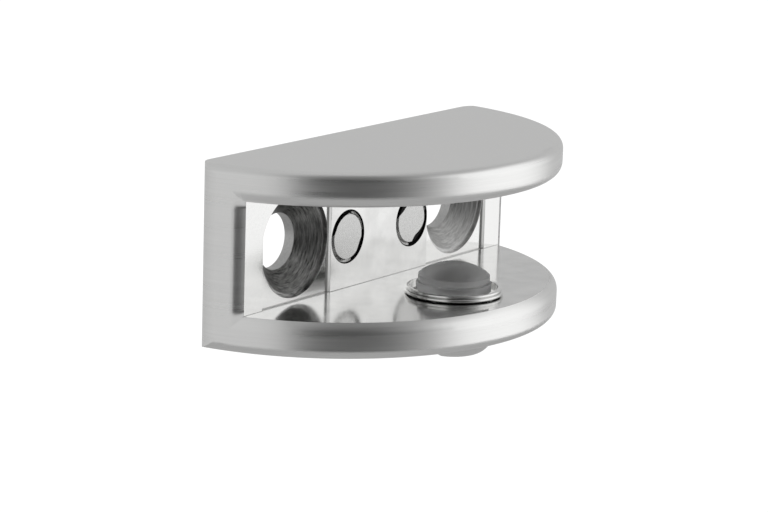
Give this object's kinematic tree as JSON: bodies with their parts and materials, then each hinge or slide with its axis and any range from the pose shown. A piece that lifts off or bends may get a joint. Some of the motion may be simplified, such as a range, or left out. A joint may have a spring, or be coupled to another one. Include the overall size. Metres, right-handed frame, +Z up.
{
  "type": "glass panel clamp",
  "caption": "Half-round metal wall clamp that holds the edge of a glass panel in its slot; a slotted screw in the lower lip lifts a soft domed pad against the glass.",
  "frame": {"origin": "on the wall face, midway between the wall screw holes", "axes": "+X along the wall, +Y into the wall, +Z up"},
  "size_m": [0.0444, 0.021, 0.0194],
  "materials": {
    "satin_nickel": "zinc casting, brushed and satin nickel plated",
    "bright_nickel": "turned steel, bright nickel plated",
    "soft_plastic": "clear grey soft plastic, moulded"
  },
  "bodies": {
    "bracket": {"clamp_body": "satin_nickel"},
    "pad": {"clamp_pad": "soft_plastic"},
    "screw": {"clamp_screw": "bright_nickel"}
  },
  "joints": [
    {"name": "pad_lift", "type": "slide", "parent": "bracket", "child": "pad", "axis": [0, 0, 1], "range_m": [0, 0.0025]},
    {"name": "screw_turn", "type": "hinge", "parent": "pad", "child": "screw", "pos_m": [0, -0.0135, -0.007], "axis": [0, 0, 1], "range_deg": [0, 900]}
  ],
  "couplings": [
    {"joint": "screw_turn", "follows": "pad_lift", "rad_per_m": 6283}
  ]
}
